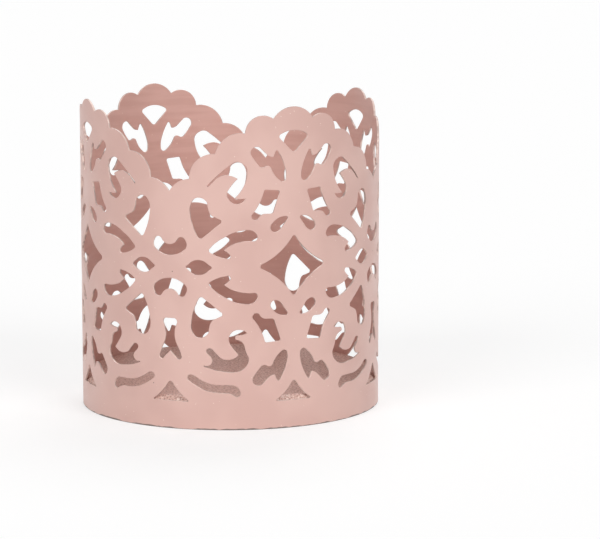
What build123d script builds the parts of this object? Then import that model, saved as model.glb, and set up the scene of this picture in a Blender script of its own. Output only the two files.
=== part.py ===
# Candle ring: a pierced and scalloped sheet-metal sleeve with a pressed floor plate fixed inside its foot.
# Millimetres, +Z up, origin on the resting plane at the middle of the ring, one petal towards -Y.
import os
from math import cos, degrees, pi, sin, sqrt

from build123d import *

os.makedirs("parts", exist_ok=True)

# Sleeve
outer_diameter = 100.0
sleeve_sheet = 0.8
peak_height = 104.0
valley_height = 77.0
petals = 4

# Floor plate
floor_height = 10.5
plate_sheet = 0.8
plate_inner_bend = 1.2
flange_depth = 6.0
plate_clearance = 0.05

# Flat drawing of the lace, half a petal wide, from the valley line at x = 0 to the peak line at
# x = drawn_width. It is stretched to the wall and to the height of the rim above it.
drawn_width = 39.3
drawn_peak = 104.0
drawn_valley = 77.0
widest_half_opening = 11.0
valley_lobe_x = 6.9
valley_lobe_radius = 7.9
plain_seam_x = 14.0

# Worked out from the sizes above. The lobes at the two ends of the strip fall together at the seam, so a
# petal takes up more than its share of the way round, and the last valley is narrower than the others.
outer_radius = outer_diameter / 2
inner_radius = outer_radius - sleeve_sheet
plate_radius = inner_radius - plate_clearance
across = pi * outer_radius / (petals * drawn_width - valley_lobe_x)
petal_turn = 2 * across * drawn_width / outer_radius
crown_depth = peak_height - valley_height
wall_bulge = outer_radius - sqrt(outer_radius**2 - (across * widest_half_opening) ** 2)
wall_reach = 2 * sleeve_sheet + wall_bulge

# Petals are counted from the front one, and the seam lies between the last and the first
first_petal = 1 - petals // 2
last_petal = first_petal + petals - 1
left, right = -1, 1


def sides_of(x):
    """What lies on a valley or peak line is drawn once a petal, anything else has a mirror twin"""
    return (left, right) if 0 < x < drawn_width else (left,)


def at_seam(petal, side, x):
    """Whether a place lies in the strip beside the seam that is not pierced"""
    return x < plain_seam_x and (petal, side) in [(first_petal, left), (last_petal, right)]


def wall_plane(petal, side, x, height):
    """Plane that touches the outside of the wall on one side of a petal, at a drawn x and a real height"""
    turn = petal * petal_turn + side * across * (drawn_width - x) / outer_radius - pi / 2
    out = Vector(cos(turn), sin(turn), 0)
    along = Vector(-sin(turn), cos(turn), 0)
    return Plane(out * outer_radius + Vector(0, 0, height), x_dir=along, z_dir=out)


def up(x):
    """How much taller than the drawing the sleeve is at a drawn x"""
    climb = x / drawn_width
    return (valley_height + climb * crown_depth) / (drawn_valley + climb * (drawn_peak - drawn_valley))


def both_sides(half, between, closing):
    """Whole outline from its right half, what leads on to the left half, and what closes it again"""
    other_half = [point and (-point[0], point[1]) for point in reversed(half)]
    return [*half, *between, *other_half, closing]


def trace(outline, width, rise):
    """Draw a closed outline from end, middle, end, middle and so on: an arc through each middle"""
    points = [point and (width * point[0], rise * point[1]) for point in [*outline, outline[0]]]
    for start, middle, end in zip(points[::2], points[1::2], points[2::2]):
        if middle is straight:
            Line(start, end)
        else:
            ThreePointArc(start, middle, end)


# Outlines of the openings, each drawn about its own middle and listed from the valley line outwards
straight = None
smile = both_sides(
    [(4.5, -1.35), (5.6, 0.2), (5.25, 1.75), (3.9, 2.95), (2.6, 2.2)],
    [(0, 0.5)],
    (0, -3.0),
)
wishbone = both_sides(
    [(1.3, 6.6), (2.25, 5.9), (2.2, 4.8), (1.5, 1.6), (2.5, -2.4), (3.25, -4.0), (3.75, -5.7), (3.1, -6.75),
     (2.1, -6.2)],
    [straight, (0, -4.0), straight],
    straight,
)
triangle = both_sides(
    [(0.7, 3.1), (2.9, 0.1), (5.75, -2.45), (5.84, -2.73), (5.6, -2.9)],
    [straight],
    (0, 3.5),
)
diamond = both_sides(
    [(2.9, 1.2), straight, (3.95, 0.35), (4.12, 0), (3.95, -0.35), straight, (2.9, -1.2)],
    [(0, -2.45)],
    (0, 2.45),
)
leaf = [
    (-3.1, 1.9), (-3.0, 3.8), (-2.2, 5.5), (-1.4, 6.25), (-0.4, 6.5), (1.3, 6.0), (2.3, 4.9), (2.55, 3.1),
    (3.1, 1.4), (3.7, 0.75), (4.6, 0.3), straight, (6.0, -0.4), (6.6, -1.15), (6.1, -1.9), straight,
    (0.9, -6.3), (0.1, -6.65), (-0.7, -6.1), (-2.3, -2.3),
]
swoosh = [
    (-7.8, 1.5), (-8.1, 2.9), (-6.9, 3.45), (-5.9, 3.15), (-5.0, 2.55), (-2.3, 1.05), (1.0, 0.3), straight,
    (5.4, 0.2), (7.4, -0.5), (8.2, -1.9), (8.0, -3.25), (6.8, -3.6), (5.7, -2.87), (4.4, -2.4), (0.9, -2.3),
    (-2.6, -1.6), (-5.2, -0.25),
]
hook = [
    (3.6, -1.2), (1.8, -2.5), (-0.4, -2.75), (-1.9, -2.25), (-2.8, -1.3), straight, (-4.1, 0.1),
    (-5.4, 0.95), (-6.4, 0.3), (-6.3, -0.4), (-5.7, -1.2), (-4.75, -2.3), (-4.5, -3.2), (-5.0, -4.3),
    (-7.0, -4.7), (-7.2, -4.9), (-7.05, -5.1), (-3.9, -6.15), (-0.3, -6.75), (1.3, -6.95), (2.7, -6.85),
    (4.7, -6.1), (6.2, -4.6), (6.75, -3.0), (6.3, -1.4), (5.75, 0.0), (5.5, 1.2), (4.8, 2.7),
    (3.4, 3.6), straight, (2.7, 3.85), (2.6, 4.7), (3.5, 5.15), (4.6, 5.25), (6.2, 5.8), (5.2, 6.6),
    (3.7, 6.95), (1.9, 6.4), (0.8, 4.9), (0.6, 3.5), (1.2, 2.0), (2.2, 0.55),
]
claw = [
    (-7.3, -0.7), (-4.8, 1.9), (-1.9, 4.6), straight, (0.3, 6.3), (1.7, 6.85), (3.2, 6.4), (4.6, 5.2),
    (5.0, 3.7), (4.75, 1.9), (4.1, -0.4), (3.1, -2.3), (1.0, -4.8), (2.7, -5.0), (4.4, -4.85),
    (3.7, -5.85), (2.2, -6.6), (0.6, -6.4), (-0.6, -5.3), (-1.3, -3.8), (-1.0, -2.4), (0.4, -0.3),
    (2.0, 1.45), (0.0, 2.4), (-1.7, 2.65), (-3.6, 2.15), (-5.2, 0.85), straight, (-6.95, -1.05),
    (-7.25, -1.0),
]
fork = [
    (-7.1, -2.8), (-7.4, -2.2), (-7.1, -1.5), (-5.0, 0.6), (-2.6, 2.1), (0.2, 3.6), (3.2, 4.3), (4.2, 4.45),
    (5.2, 4.35), (6.7, 3.6), (7.5, 2.3), (7.25, 1.15), (6.2, 0.8), (3.4, 0.75), (0.6, 0.1), (-1.2, -0.75),
    (-2.8, -2.0), (-1.6, -2.85), (-0.9, -3.6), (-0.95, -4.5), (-2.0, -4.75), (-4.5, -4.15),
]
boot = [
    (-0.7, 3.9), (-0.4, 4.45), (0.3, 4.6), straight, (3.7, 4.3), (4.3, 4.0), (4.3, 3.3), straight,
    (2.5, -2.1), (2.25, -2.75), (1.5, -3.1), straight, (-0.5, -3.1), (-1.4, -3.45), (-2.1, -4.2),
    (-3.3, -5.0), (-4.3, -4.5), (-4.5, -3.8), (-4.1, -3.0), (-2.1, 0.1),
]
antler = [
    (1.1, 2.1), straight, (1.7, 3.7), (2.2, 4.15), (2.8, 3.7), (4.1, 1.1), (5.0, -1.6), (5.3, -3.3),
    (5.2, -5.0), (4.4, -5.8), (3.2, -5.45), (1.8, -4.1), (0.7, -2.3), straight, (0.2, -1.2), (-0.6, -0.7),
    (-1.4, -0.85), (-2.4, -1.2), (-3.2, -0.9), (-4.4, 0.6), (-5.5, 2.3), (-5.95, 3.9), (-5.4, 5.0),
    (-4.2, 5.5), (-3.1, 5.15), (-2.1, 4.1), (-1.0, 3.0), (-0.1, 2.35),
]
seed = [
    (-2.9, -1.0), (-2.4, -2.1), (-1.1, -2.5), (0.1, -1.9), (1.1, -0.6), straight, (2.6, 1.5), (2.7, 2.2),
    (2.0, 2.5), (-0.4, 2.0), (-2.1, 0.6), (-2.7, -0.2),
]
star = both_sides(
    [(0.5, 9.4), (4.9, 4.3), (10.3, 0.75), (10.75, 0), (10.3, -0.75), (4.9, -4.3), (0.5, -9.4)],
    [(0, -9.65)],
    (0, 9.65),
)
fan = both_sides(
    [(0.8, -3.0), straight, (4.5, 0.9), (4.75, 1.65), (4.2, 2.3)],
    [(0, 3.45)],
    (0, -3.35),
)

# Where each opening lies on the drawing, upright or turned upside down
upright, turned = 1, -1
lace = [
    (smile, 0, 59.5, upright),
    (smile, 0, 46.1, turned),
    (wishbone, 0, 29.5, upright),
    (triangle, 0, 12.0, upright),
    (triangle, drawn_width, 12.0, upright),
    (diamond, 9.3, 52.8, upright),
    (leaf, 9.8, 68.8, upright),
    (leaf, 10.0, 36.6, turned),
    (swoosh, 13.8, 14.5, upright),
    (hook, 18.0, 25.8, upright),
    (claw, 19.5, 79.9, upright),
    (fork, 20.0, 60.5, upright),
    (fork, 20.0, 45.4, turned),
    (boot, 30.2, 73.1, upright),
    (boot, 30.4, 33.0, turned),
    (antler, 31.5, 86.0, upright),
    (antler, 31.9, 19.9, turned),
    (seed, 34.5, 66.5, upright),
    (seed, 34.5, 39.5, turned),
    (star, drawn_width, 53.0, upright),
    (fan, drawn_width, 93.0, upright),
]

# Round lobes of the scalloped rim from the valley up to the peak: drawn x, drawn radius and the height of
# the middle. The first one crosses the valley line at the valley height. The others touch a share of the
# climb from the valley to the peak.
valley_lobe_rise = across * sqrt(valley_lobe_radius**2 - valley_lobe_x**2)
climbing_lobes = [(14.1, 7.6, 0.456), (22.5, 8.0, 0.7), (29.4, 5.6, 0.903), (drawn_width, 7.85, 1.0)]
lobes = [(valley_lobe_x, valley_lobe_radius, valley_height - valley_lobe_rise)]
for x, radius, climb in climbing_lobes:
    lobes.append((x, radius, valley_height + climb * crown_depth - across * radius))
rim_foot = valley_height - valley_lobe_rise
lobe_overlap = 1.0

# The lobes of the front petal, and a step from each to the next that fills the wall under them
with BuildPart() as petal_lobes:
    for x, radius, height in lobes:
        for side in sides_of(x):
            with BuildSketch(wall_plane(0, side, x, height)):
                Circle(across * radius)
    for (low_x, _, low), (high_x, _, high) in zip(lobes, lobes[1:]):
        half_step = across * (high_x - low_x) / 2 + lobe_overlap
        for side in (left, right):
            with BuildSketch(wall_plane(0, side, (low_x + high_x) / 2, rim_foot)):
                with BuildLine():
                    Polyline(
                        (side * half_step, -lobe_overlap),
                        (-side * half_step, -lobe_overlap),
                        (-side * half_step, high - rim_foot),
                        (side * half_step, low - rim_foot),
                        close=True,
                    )
                make_face()
    extrude(amount=wall_reach, both=True)

# Everything under the rim line: a drum up to the lowest lobes, and the lobes of all petals
with BuildPart() as under_rim:
    with BuildSketch():
        Circle(outer_radius + wall_reach)
    extrude(amount=rim_foot)
    for petal in range(first_petal, last_petal + 1):
        add(petal_lobes.part, rotation=(0, 0, degrees(petal * petal_turn)))

# Punches for the openings of all petals
with BuildPart() as punches:
    for petal in range(first_petal, last_petal + 1):
        for outline, x, y, way_up in lace:
            for side in sides_of(x):
                if not at_seam(petal, side, x):
                    with BuildSketch(wall_plane(petal, side, x, up(x) * y)):
                        with BuildLine():
                            trace(outline, -side * across, way_up * up(x))
                        make_face()
    extrude(amount=wall_reach, both=True)

# Sleeve: the strip rolled into a tube, trimmed to the rim line and pierced with the lace
with BuildPart() as lace_sleeve:
    with BuildSketch():
        Circle(outer_radius)
        Circle(inner_radius, mode=Mode.SUBTRACT)
    extrude(amount=peak_height)
    add(under_rim.part, mode=Mode.INTERSECT)
    add(punches.part, mode=Mode.SUBTRACT)
lace_sleeve.part.label = "lace_sleeve"

# Floor plate: a disc with a rounded shoulder and a turned-down flange that lies against the plain band
plate_outer_bend = plate_inner_bend + plate_sheet
flange_foot = floor_height - flange_depth
with BuildPart() as floor_plate:
    with BuildSketch(Plane.XZ):
        with BuildLine():
            Polyline(
                (0, floor_height - plate_sheet),
                (0, floor_height),
                (plate_radius - plate_outer_bend, floor_height),
            )
            RadiusArc(
                (plate_radius - plate_outer_bend, floor_height),
                (plate_radius, floor_height - plate_outer_bend),
                plate_outer_bend,
            )
            Polyline(
                (plate_radius, floor_height - plate_outer_bend),
                (plate_radius, flange_foot),
                (plate_radius - plate_sheet, flange_foot),
                (plate_radius - plate_sheet, floor_height - plate_outer_bend),
            )
            RadiusArc(
                (plate_radius - plate_sheet, floor_height - plate_outer_bend),
                (plate_radius - plate_outer_bend, floor_height - plate_sheet),
                -plate_inner_bend,
            )
            Line(
                (plate_radius - plate_outer_bend, floor_height - plate_sheet),
                (0, floor_height - plate_sheet),
            )
        make_face()
    revolve(axis=Axis.Z)
floor_plate.part.label = "floor_plate"

for piece in (lace_sleeve, floor_plate):
    export_step(piece.part, f"parts/{piece.part.label}.step", write_pcurves=False)
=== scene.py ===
from math import atan2, cos, pi, radians, sin

import bmesh
import bpy
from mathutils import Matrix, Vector


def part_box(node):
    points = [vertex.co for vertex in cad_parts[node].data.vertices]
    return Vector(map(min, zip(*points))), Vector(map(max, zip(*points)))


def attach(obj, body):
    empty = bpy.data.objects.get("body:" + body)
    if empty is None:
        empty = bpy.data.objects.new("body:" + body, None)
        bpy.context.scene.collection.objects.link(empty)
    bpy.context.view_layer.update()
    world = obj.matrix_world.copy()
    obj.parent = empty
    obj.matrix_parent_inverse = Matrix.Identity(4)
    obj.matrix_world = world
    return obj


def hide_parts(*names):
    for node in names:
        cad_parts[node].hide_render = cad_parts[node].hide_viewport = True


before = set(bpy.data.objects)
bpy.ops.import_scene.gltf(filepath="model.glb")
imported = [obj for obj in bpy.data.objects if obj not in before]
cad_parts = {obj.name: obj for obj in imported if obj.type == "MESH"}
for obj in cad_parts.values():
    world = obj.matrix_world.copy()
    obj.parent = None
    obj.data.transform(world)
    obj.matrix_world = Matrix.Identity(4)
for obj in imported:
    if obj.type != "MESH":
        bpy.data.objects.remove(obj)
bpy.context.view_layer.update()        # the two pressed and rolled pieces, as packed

# Lace sleeve: one strip of thin sheet steel, pierced with the lace and scalloped along its top, then
# rolled into a tube and welded shut along a plain seam. A satin dusty-pink powder coat covers it inside
# and out and rounds every cut edge, and it has worn through along the foot, where the ring is slid about.
# The dark line along the foot is that wear together with a painted contact shadow.
sleeve_foot, sleeve_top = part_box("lace_sleeve")
sleeve_radius = sleeve_top.x
bore_radius = min(vert.co.xy.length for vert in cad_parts["lace_sleeve"].data.vertices)
sheet = sleeve_radius - bore_radius
sheet_middle = (sleeve_radius + bore_radius) / 2
petals = 4
front = -pi / 2
petal_turn = radians(94.132)    # from each peak to the next, so the valley at the seam is narrower
seam_turn = 2 * pi - (petals - 1) * petal_turn
edge_round = 0.00015
roll_lines = 12
spare_width = 0.006
weld_reach = 5e-6
peak_weld_reach = 4e-5


def everything(mesh):
    """All the geometry of a mesh, for the operators that take a mixed list"""
    return [*mesh.verts, *mesh.edges, *mesh.faces]


def on_flat_wall(part):
    """Whether an edge or face of the flat strip lies wholly on its outside"""
    return all(abs(vert.co.y + sheet / 2) < weld_reach for vert in part.verts)


def is_trim_point(vert):
    """Whether a point of the flat strip was only left along an upright line by the trimming"""
    return not vert.link_faces and all(
        abs(edge.verts[0].co.x - edge.verts[1].co.x) < weld_reach for edge in vert.link_edges
    )


def flat_outside(line, width):
    """The outside of the wall laid flat, from an upright line round to the next peak line"""
    strip = bmesh.new()
    strip.from_mesh(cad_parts["lace_sleeve"].data)
    bmesh.ops.remove_doubles(strip, verts=strip.verts, dist=weld_reach)

    # The wall with some to spare, at the depth of its cut edges
    along = {}
    for vert in strip.verts:
        turn = atan2(vert.co.y, vert.co.x) - line
        along[vert] = sleeve_radius * atan2(sin(turn), cos(turn))
    not_wanted = [
        face for face in strip.faces
        if any(vert.co.xy.length < sheet_middle for vert in face.verts)
        or any(not -spare_width < along[vert] < width + spare_width for vert in face.verts)
    ]
    for vert in strip.verts:
        vert.co = (along[vert], edge_round - sheet / 2, vert.co.z)
    bmesh.ops.delete(strip, geom=not_wanted, context="FACES")
    bmesh.ops.dissolve_verts(strip, verts=[vert for vert in strip.verts if not vert.is_boundary])
    strip.normal_update()

    # The coat's rounding along every outline, trimmed to the two lines
    bmesh.ops.inset_region(
        strip,
        faces=strip.faces,
        thickness=edge_round,
        depth=edge_round,
        use_boundary=True,
        use_even_offset=True,
    )
    for trim, outwards in ((0, -1), (width, 1)):
        bmesh.ops.bisect_plane(
            strip,
            geom=everything(strip),
            dist=weld_reach,
            plane_co=(trim, 0, 0),
            plane_no=(outwards, 0, 0),
            clear_outer=True,
        )
        for vert in strip.verts:
            if abs(vert.co.x - trim) < weld_reach:
                vert.co.x = trim

    # The wall between the outlines filled afresh, and creased into narrow strips that can be rolled
    bmesh.ops.delete(
        strip,
        geom=[face for face in strip.faces if on_flat_wall(face)],
        context="FACES_KEEP_BOUNDARY",
    )
    bmesh.ops.dissolve_verts(strip, verts=[vert for vert in strip.verts if is_trim_point(vert)])
    bmesh.ops.triangle_fill(
        strip,
        use_beauty=True,
        use_dissolve=False,
        edges=[edge for edge in strip.edges if on_flat_wall(edge)],
        normal=(0, -1, 0),
    )
    for crease in range(1, roll_lines):
        bmesh.ops.bisect_plane(
            strip,
            geom=everything(strip),
            dist=weld_reach,
            plane_co=(width * crease / roll_lines, 0, 0),
            plane_no=(1, 0, 0),
        )
    return strip


def add_petal_sides(whole, line, turn, copies):
    """Add both sides of an upright line, as far as the peaks, and copies of them at every petal"""
    strip = flat_outside(line, sleeve_radius * turn / 2)

    # The other side of the sheet, the cut between the two sides, and the mirrored half
    outline = [
        edge for edge in strip.edges
        if edge.is_boundary and all(vert.co.y > edge_round / 2 - sheet / 2 for vert in edge.verts)
    ]
    bmesh.ops.mirror(strip, geom=everything(strip), axis="Y", merge_dist=0)
    cut = bmesh.ops.extrude_edge_only(strip, edges=outline)
    for part in cut["geom"]:
        if isinstance(part, bmesh.types.BMVert):
            part.co.y = -part.co.y
    bmesh.ops.remove_doubles(strip, verts=strip.verts, dist=weld_reach)
    bmesh.ops.mirror(strip, geom=everything(strip), axis="X", merge_dist=weld_reach)

    # Both halves rolled to the sleeve's radius
    for vert in strip.verts:
        place = line + vert.co.x / sleeve_radius
        radius = sheet_middle - vert.co.y
        vert.co.xy = (radius * cos(place), radius * sin(place))
    if copies:
        bmesh.ops.spin(
            strip,
            geom=everything(strip),
            cent=(0, 0, 0),
            axis=(0, 0, 1),
            angle=copies * petal_turn,
            steps=copies,
            use_duplicate=True,
        )
    strip_data = bpy.data.meshes.new("petal_sides")
    strip.to_mesh(strip_data)
    strip.free()
    whole.from_mesh(strip_data)
    bpy.data.meshes.remove(strip_data)


# The three pierced valleys, then the one at the seam, welded together along the peak lines
sleeve_mesh = bmesh.new()
add_petal_sides(sleeve_mesh, front - petal_turn / 2, petal_turn, petals - 2)
add_petal_sides(sleeve_mesh, front - petal_turn - seam_turn / 2, seam_turn, 0)
bmesh.ops.remove_doubles(sleeve_mesh, verts=sleeve_mesh.verts, dist=weld_reach)
open_verts = [vert for vert in sleeve_mesh.verts if vert.is_boundary]
bmesh.ops.remove_doubles(sleeve_mesh, verts=open_verts, dist=peak_weld_reach)
bmesh.ops.recalc_face_normals(sleeve_mesh, faces=sleeve_mesh.faces)
for face in sleeve_mesh.faces:
    face.smooth = True
sleeve_data = bpy.data.meshes.new("coated_lace_sleeve")
sleeve_mesh.to_mesh(sleeve_data)
sleeve_mesh.free()


def wall_normal(vert):
    """Straight out or in on the two sides of the sheet, the mesh's own normal round its cut edges"""
    out = Vector((vert.co.x, vert.co.y, 0)).normalized()
    if vert.co.xy.length > sleeve_radius - edge_round / 2:
        return out
    if vert.co.xy.length < bore_radius + edge_round / 2:
        return -out
    return vert.normal


sleeve_data.normals_split_custom_set_from_vertices([wall_normal(vert) for vert in sleeve_data.vertices])
sleeve = bpy.data.objects.new("coated_lace_sleeve", sleeve_data)
bpy.context.scene.collection.objects.link(sleeve)


def add_node(material, kind, inputs=None, **settings):
    """One node of a material, with its settings and the inputs that nothing is linked to"""
    node = material.node_tree.nodes.new("ShaderNode" + kind)
    for name, value in settings.items():
        setattr(node, name, value)
    for name, value in (inputs or {}).items():
        node.inputs[name].default_value = value
    return node


def add_link(material, source, target):
    """Join a node's output socket to another node's input socket"""
    material.node_tree.links.new(source, target)


def add_range(material, value, low, high, low_result=0.0, high_result=1.0):
    """Map a value smoothly from one span to another; gives the result's socket"""
    ends = {"From Min": low, "From Max": high, "To Min": low_result, "To Max": high_result}
    span = add_node(material, "MapRange", ends, interpolation_type="SMOOTHSTEP")
    add_link(material, value, span.inputs["Value"])
    return span.outputs["Result"]


def add_sum(material, operation, first, second):
    """Two values put together by a Math operation; gives the result's socket"""
    sum_node = add_node(material, "Math", operation=operation)
    add_link(material, first, sum_node.inputs[0])
    add_link(material, second, sum_node.inputs[1])
    return sum_node.outputs["Value"]


def add_scaled_place(material, place, scale):
    """The place on the piece stretched or flattened along its axes; gives the new place's socket"""
    scaled = add_node(material, "Mapping", {"Scale": scale})
    add_link(material, place, scaled.inputs["Vector"])
    return scaled.outputs["Vector"]


def add_noise(material, place, size):
    """Cloudy noise with features of about one size in metres; gives its value's socket"""
    noise = add_node(material, "TexNoise", {"Scale": 1 / size})
    add_link(material, place, noise.inputs["Vector"])
    return noise.outputs["Fac"]


def add_patches(material, place, size, low=0.0, high=1.0):
    """Cloudy patches that run from a low to a high value; gives their value's socket"""
    return add_range(material, add_noise(material, place, size), noise_low, noise_high, low, high)


def add_specks(material, place, spacing, radius, share):
    """Round specks in a share of the cells of a random grid; gives how much of a speck is there"""
    cells = add_node(material, "TexVoronoi", {"Scale": 1 / spacing})
    add_link(material, place, cells.inputs["Vector"])
    speck = add_range(material, cells.outputs["Distance"], radius / spacing, radius / spacing / 2)
    draw = add_node(material, "SeparateColor")
    add_link(material, cells.outputs["Color"], draw.inputs["Color"])
    drawn = add_node(material, "Math", {1: share}, operation="LESS_THAN")
    add_link(material, draw.outputs["Red"], drawn.inputs[0])
    return add_sum(material, "MULTIPLY", speck, drawn.outputs["Value"])


def add_tint(material, base, tint, amount):
    """Lay a tint over a base, each a colour or a socket, by an amount; gives the mixed colour's socket"""
    mix = add_node(material, "Mix", data_type="RGBA")
    for name, colour in (("A_Color", base), ("B_Color", tint)):
        socket = next(each for each in mix.inputs if each.identifier == name)
        if isinstance(colour, tuple):
            socket.default_value = (*colour, 1)
        else:
            add_link(material, colour, socket)
    add_link(material, amount, mix.inputs["Factor"])
    return next(each for each in mix.outputs if each.identifier == "Result_Color")


def add_relief(material, height, strength, depth, under=None):
    """Bumps in a finish, over those of another relief if there is one; gives the normal's socket"""
    relief = add_node(material, "Bump", {"Strength": strength, "Distance": depth})
    add_link(material, height, relief.inputs["Height"])
    if under:
        add_link(material, under, relief.inputs["Normal"])
    return relief.outputs["Normal"]


noise_low, noise_high = 0.35, 0.65
pink_deep = (0.665, 0.425, 0.375)
pink_light = (0.715, 0.470, 0.415)
# painted shade: the inside of the sleeve is coloured darker than its outside, for the shade inside the
# ring; the lighter streaks are rubbing
pink_inside_painted_shade = (0.630, 0.370, 0.318)
rubbed_pink_painted_shade = (0.680, 0.418, 0.364)
# painted light on the cut edges: a cream painted highlight and a grey painted shade, laid in random
# patches
edge_painted_highlight = (0.830, 0.650, 0.580)
edge_painted_shade = (0.480, 0.350, 0.315)
speck_cream = (0.860, 0.690, 0.620)
pit_brown = (0.200, 0.115, 0.095)
# dark along the foot: steel worn bare, and a painted contact shadow
chip_and_shadow_brown = (0.200, 0.150, 0.130)
mottle_size = 0.020
streak_size = 0.024
streak_flatness = 10
edge_patch = 0.003
speck_spacing, speck_radius, speck_share = 0.0016, 0.00020, 0.20
pit_spacing, pit_radius, pit_share = 0.0045, 0.00024, 0.12
chip_and_shadow_patch = 0.005
chip_and_shadow_low, chip_and_shadow_high = 0.00012, 0.00052
chip_and_shadow_fade = 0.00008
gloss_patch = 0.012
smoothest, roughest = 0.34, 0.46
peel_size = 0.0011
peel_strength, peel_depth = 0.12, 0.0001
speck_strength, speck_depth = 0.3, 0.00005

coat = bpy.data.materials.new("pink_powder_coat")
coat.use_nodes = True
coat_shader = coat.node_tree.nodes["Principled BSDF"]
coat_place = add_node(coat, "TexCoord").outputs["Object"]
coat_axes = add_node(coat, "SeparateXYZ")
add_link(coat, coat_place, coat_axes.inputs["Vector"])

# How far out in the sheet a place lies: on its outside, its inside or the cut between them
from_axis = add_node(coat, "VectorMath", operation="LENGTH")
add_link(coat, add_scaled_place(coat, coat_place, (1, 1, 0)), from_axis.inputs["Vector"])
off_outside = add_range(
    coat,
    from_axis.outputs["Value"],
    sleeve_radius - edge_round / 2,
    sleeve_radius - edge_round,
)
off_inside = add_range(
    coat,
    from_axis.outputs["Value"],
    bore_radius + edge_round / 2,
    bore_radius + edge_round,
)
on_cut = add_sum(coat, "MULTIPLY", off_outside, off_inside)

# Soft mottling outside; inside, a deeper colour that is painted shade, lightly rubbed in streaks; on the
# cuts, uneven patches of painted highlight and painted shade
mottle = add_patches(coat, coat_place, mottle_size)
rubbed = add_patches(coat, add_scaled_place(coat, coat_place, (1, 1, streak_flatness)), streak_size)
outside_colour = add_tint(coat, pink_deep, pink_light, mottle)
# the inside's painted shade, with lightly rubbed streaks across it
inside_painted_shade_colour = add_tint(coat, pink_inside_painted_shade, rubbed_pink_painted_shade, rubbed)
# painted highlight and painted shade on the cuts, in uneven patches
cut_painted_light = add_tint(coat, edge_painted_shade, edge_painted_highlight, add_patches(coat, coat_place, edge_patch))
coat_colour = add_tint(coat, inside_painted_shade_colour, outside_colour, off_inside)
coat_colour = add_tint(coat, coat_colour, cut_painted_light, on_cut)

# Pale grains and a few dark pits
specks = add_specks(coat, coat_place, speck_spacing, speck_radius, speck_share)
pits = add_specks(coat, coat_place, pit_spacing, pit_radius, pit_share)
coat_colour = add_tint(coat, coat_colour, speck_cream, specks)
coat_colour = add_tint(coat, coat_colour, pit_brown, pits)

# The foot, chipped to the steel in an uneven line that also carries a painted contact shadow
chip_and_shadow_top = add_patches(coat, coat_place, chip_and_shadow_patch, sleeve_foot.z + chip_and_shadow_low, sleeve_foot.z + chip_and_shadow_high)
above_chip_and_shadow = add_sum(coat, "SUBTRACT", coat_axes.outputs["Z"], chip_and_shadow_top)
chipped_and_shaded = add_range(coat, above_chip_and_shadow, chip_and_shadow_fade, 0)
coat_colour = add_tint(coat, coat_colour, chip_and_shadow_brown, chipped_and_shaded)
add_link(coat, coat_colour, coat_shader.inputs["Base Color"])

# A satin gloss that comes and goes, over the coat's orange peel and standing grains
gloss = add_patches(coat, coat_place, gloss_patch, smoothest, roughest)
add_link(coat, gloss, coat_shader.inputs["Roughness"])
peel = add_relief(coat, add_noise(coat, coat_place, peel_size), peel_strength, peel_depth)
grained_peel = add_relief(coat, specks, speck_strength, speck_depth, peel)
add_link(coat, grained_peel, coat_shader.inputs["Normal"])
sleeve_data.materials.append(coat)
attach(sleeve, "root")
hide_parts("lace_sleeve")

# Floor plate: a steel disc pressed into a shallow pan, with a rounded shoulder and a turned-down flange
# that is pushed into the plain band of the sleeve. Its powder coat is coarser than the sleeve's, grainy
# and mottled.
plate_foot, plate_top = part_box("floor_plate")
plate_radius = plate_top.x
plate_sheet = 0.0008
shoulder_radius = 0.0020
shoulder_steps = 8
plate_steps = 128
flange_round_steps = 2
sharp_edge = pi / 4

plate_mesh = bmesh.new()
shoulder_start = plate_mesh.verts.new((plate_radius - shoulder_radius, 0, plate_top.z))
shoulder = bmesh.ops.spin(
    plate_mesh,
    geom=[shoulder_start],
    cent=(plate_radius - shoulder_radius, 0, plate_top.z - shoulder_radius),
    axis=(0, 1, 0),
    angle=pi / 2,
    steps=shoulder_steps,
)
shoulder_end = next(part for part in shoulder["geom_last"] if isinstance(part, bmesh.types.BMVert))
for end, place in (
    (shoulder_start, (0, 0, plate_top.z)),
    (shoulder_end, (plate_radius, 0, plate_foot.z)),
):
    drawn = bmesh.ops.extrude_vert_indiv(plate_mesh, verts=[end])
    drawn["verts"][0].co = place
bmesh.ops.spin(
    plate_mesh,
    geom=everything(plate_mesh),
    cent=(0, 0, 0),
    axis=(0, 0, 1),
    angle=2 * pi,
    steps=plate_steps,
    use_merge=True,
)
bmesh.ops.remove_doubles(plate_mesh, verts=plate_mesh.verts, dist=weld_reach)
bmesh.ops.recalc_face_normals(plate_mesh, faces=plate_mesh.faces)
bmesh.ops.solidify(plate_mesh, geom=plate_mesh.faces, thickness=plate_sheet)
flange_edges = [
    edge for edge in plate_mesh.edges
    if all(vert.co.z < plate_foot.z + weld_reach for vert in edge.verts)
    and edge.calc_face_angle(0) > sharp_edge
]
bmesh.ops.bevel(
    plate_mesh,
    geom=flange_edges,
    offset=edge_round,
    offset_type="OFFSET",
    segments=flange_round_steps,
    profile=0.5,
    affect="EDGES",
    material=-1,
)
for face in plate_mesh.faces:
    face.smooth = True
plate_data = bpy.data.meshes.new("coated_floor_plate")
plate_mesh.to_mesh(plate_data)
plate_mesh.free()
plate = bpy.data.objects.new("coated_floor_plate", plate_data)
bpy.context.scene.collection.objects.link(plate)

grain_dark = (0.345, 0.195, 0.160)
grain_mid = (0.620, 0.395, 0.335)
grain_light = (0.800, 0.640, 0.575)
grain_size = 0.00065
grain_patch = 0.010
pale_start, pale_full = 0.52, 0.65
thin_pale = 0.4
dark_start, dark_full = 0.46, 0.36
hollow_rough, grain_smooth = 0.55, 0.40
grain_strength, grain_depth = 0.45, 0.00015

grainy_coat = bpy.data.materials.new("grainy_plate_coat")
grainy_coat.use_nodes = True
grainy_shader = grainy_coat.node_tree.nodes["Principled BSDF"]
grainy_place = add_node(grainy_coat, "TexCoord").outputs["Object"]

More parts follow.
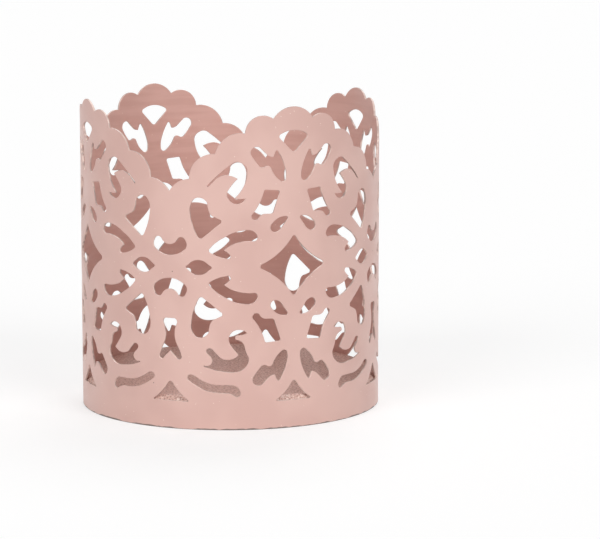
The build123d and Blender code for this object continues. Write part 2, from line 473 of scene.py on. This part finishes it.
# Pale and dark grains, the pale ones thick in some places and thin in others
grain = add_noise(grainy_coat, grainy_place, grain_size)
pale_grains = add_sum(
    grainy_coat,
    "MULTIPLY",
    add_range(grainy_coat, grain, pale_start, pale_full),
    add_patches(grainy_coat, grainy_place, grain_patch, thin_pale),
)
dark_grains = add_range(grainy_coat, grain, dark_start, dark_full)
grainy_colour = add_tint(grainy_coat, grain_mid, grain_light, pale_grains)
grainy_colour = add_tint(grainy_coat, grainy_colour, grain_dark, dark_grains)
add_link(grainy_coat, grainy_colour, grainy_shader.inputs["Base Color"])
grainy_gloss = add_range(grainy_coat, grain, noise_low, noise_high, hollow_rough, grain_smooth)
add_link(grainy_coat, grainy_gloss, grainy_shader.inputs["Roughness"])
grain_relief = add_relief(grainy_coat, grain, grain_strength, grain_depth)
add_link(grainy_coat, grain_relief, grainy_shader.inputs["Normal"])
plate_data.materials.append(grainy_coat)
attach(plate, "root")
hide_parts("floor_plate")

# Table top: a plain pale surface that the ring stands on.
table_radius = 4.0
table_steps = 64
floor_mesh = bmesh.new()
bmesh.ops.create_circle(floor_mesh, cap_ends=True, segments=table_steps, radius=table_radius)
floor_data = bpy.data.meshes.new("table_top")
floor_mesh.to_mesh(floor_data)
floor_mesh.free()
floor = bpy.data.objects.new("table_top", floor_data)
bpy.context.scene.collection.objects.link(floor)

table_shade = (0.88, 0.88, 0.88, 1)
table_roughness = 0.9
glow_share = 0.5
glow_level = 1.2
table_white = bpy.data.materials.new("table_white")
table_white.use_nodes = True
table_shader = table_white.node_tree.nodes["Principled BSDF"]
table_shader.inputs["Base Color"].default_value = table_shade
table_shader.inputs["Roughness"].default_value = table_roughness
table_shader.inputs["Specular IOR Level"].default_value = 0


def add_seen_directly(material):
    """Whether a ray comes from the camera, a reflection or a clear surface; gives its value's socket"""
    rays = add_node(material, "LightPath")
    seen = rays.outputs["Is Camera Ray"]
    for kind in ("Is Glossy Ray", "Is Transmission Ray"):
        seen = add_sum(material, "MAXIMUM", seen, rays.outputs[kind])
    return seen


# Half the table's own shade, with the ring's shadow on it, and half a glow that makes it white
table_glow = add_node(table_white, "Emission", {"Strength": glow_level})
table_blend = add_node(table_white, "MixShader")
glow_there = add_range(table_white, add_seen_directly(table_white), 0, 1, 0, glow_share)
add_link(table_white, glow_there, table_blend.inputs["Fac"])
add_link(table_white, table_shader.outputs["BSDF"], table_blend.inputs[1])
add_link(table_white, table_glow.outputs["Emission"], table_blend.inputs[2])
table_surface = table_white.node_tree.nodes["Material Output"].inputs["Surface"]
add_link(table_white, table_blend.outputs["Shader"], table_surface)
floor_data.materials.append(table_white)

# Camera: a long lens a little above the rim, turned to the right of the ring.
camera_azimuth = radians(-24.126)
camera_distance = 0.9
camera_height = 0.1839
camera_turn = radians(1.496)
camera_pitch = radians(8.8)
camera_lens, camera_sensor = 161.92, 36.0
camera_data = bpy.data.cameras.new("camera")
camera_data.lens = camera_lens
camera_data.sensor_width = camera_sensor
camera = bpy.data.objects.new("camera", camera_data)
camera.location = (
    sin(camera_azimuth) * camera_distance,
    -cos(camera_azimuth) * camera_distance,
    camera_height,
)
camera.rotation_euler = (pi / 2 - camera_pitch, 0, camera_azimuth - camera_turn)
bpy.context.scene.collection.objects.link(camera)
bpy.context.scene.camera = camera

# Light: a white room, with a broad soft light to either side of the camera and one from above, behind.
# Each lamp has its turn from the camera and its height, in degrees, and its power.
room_level = 0.245
lamp_spread = radians(35)
lamps = {
    "right_light": (38, 28, 1.27),
    "left_light": (-38, 28, 1.28),
    "top_light": (165, 55, 1.00),
}
room = bpy.data.worlds.new("white_room")
bpy.context.scene.world = room
room.use_nodes = True
room_light = room.node_tree.nodes["Background"]
room_light.inputs["Color"].default_value = (1, 1, 1, 1)
room_strength = add_range(room, add_seen_directly(room), 0, 1, room_level, 1)
add_link(room, room_strength, room_light.inputs["Strength"])
for name, (turn, height, power) in lamps.items():
    lamp_data = bpy.data.lights.new(name, "SUN")
    lamp_data.angle = lamp_spread
    lamp_data.energy = power
    lamp = bpy.data.objects.new(name, lamp_data)
    lamp.rotation_euler = (radians(90 - height), 0, camera_azimuth + radians(turn))
    bpy.context.scene.collection.objects.link(lamp)
bpy.context.scene.view_settings.view_transform = "Standard"
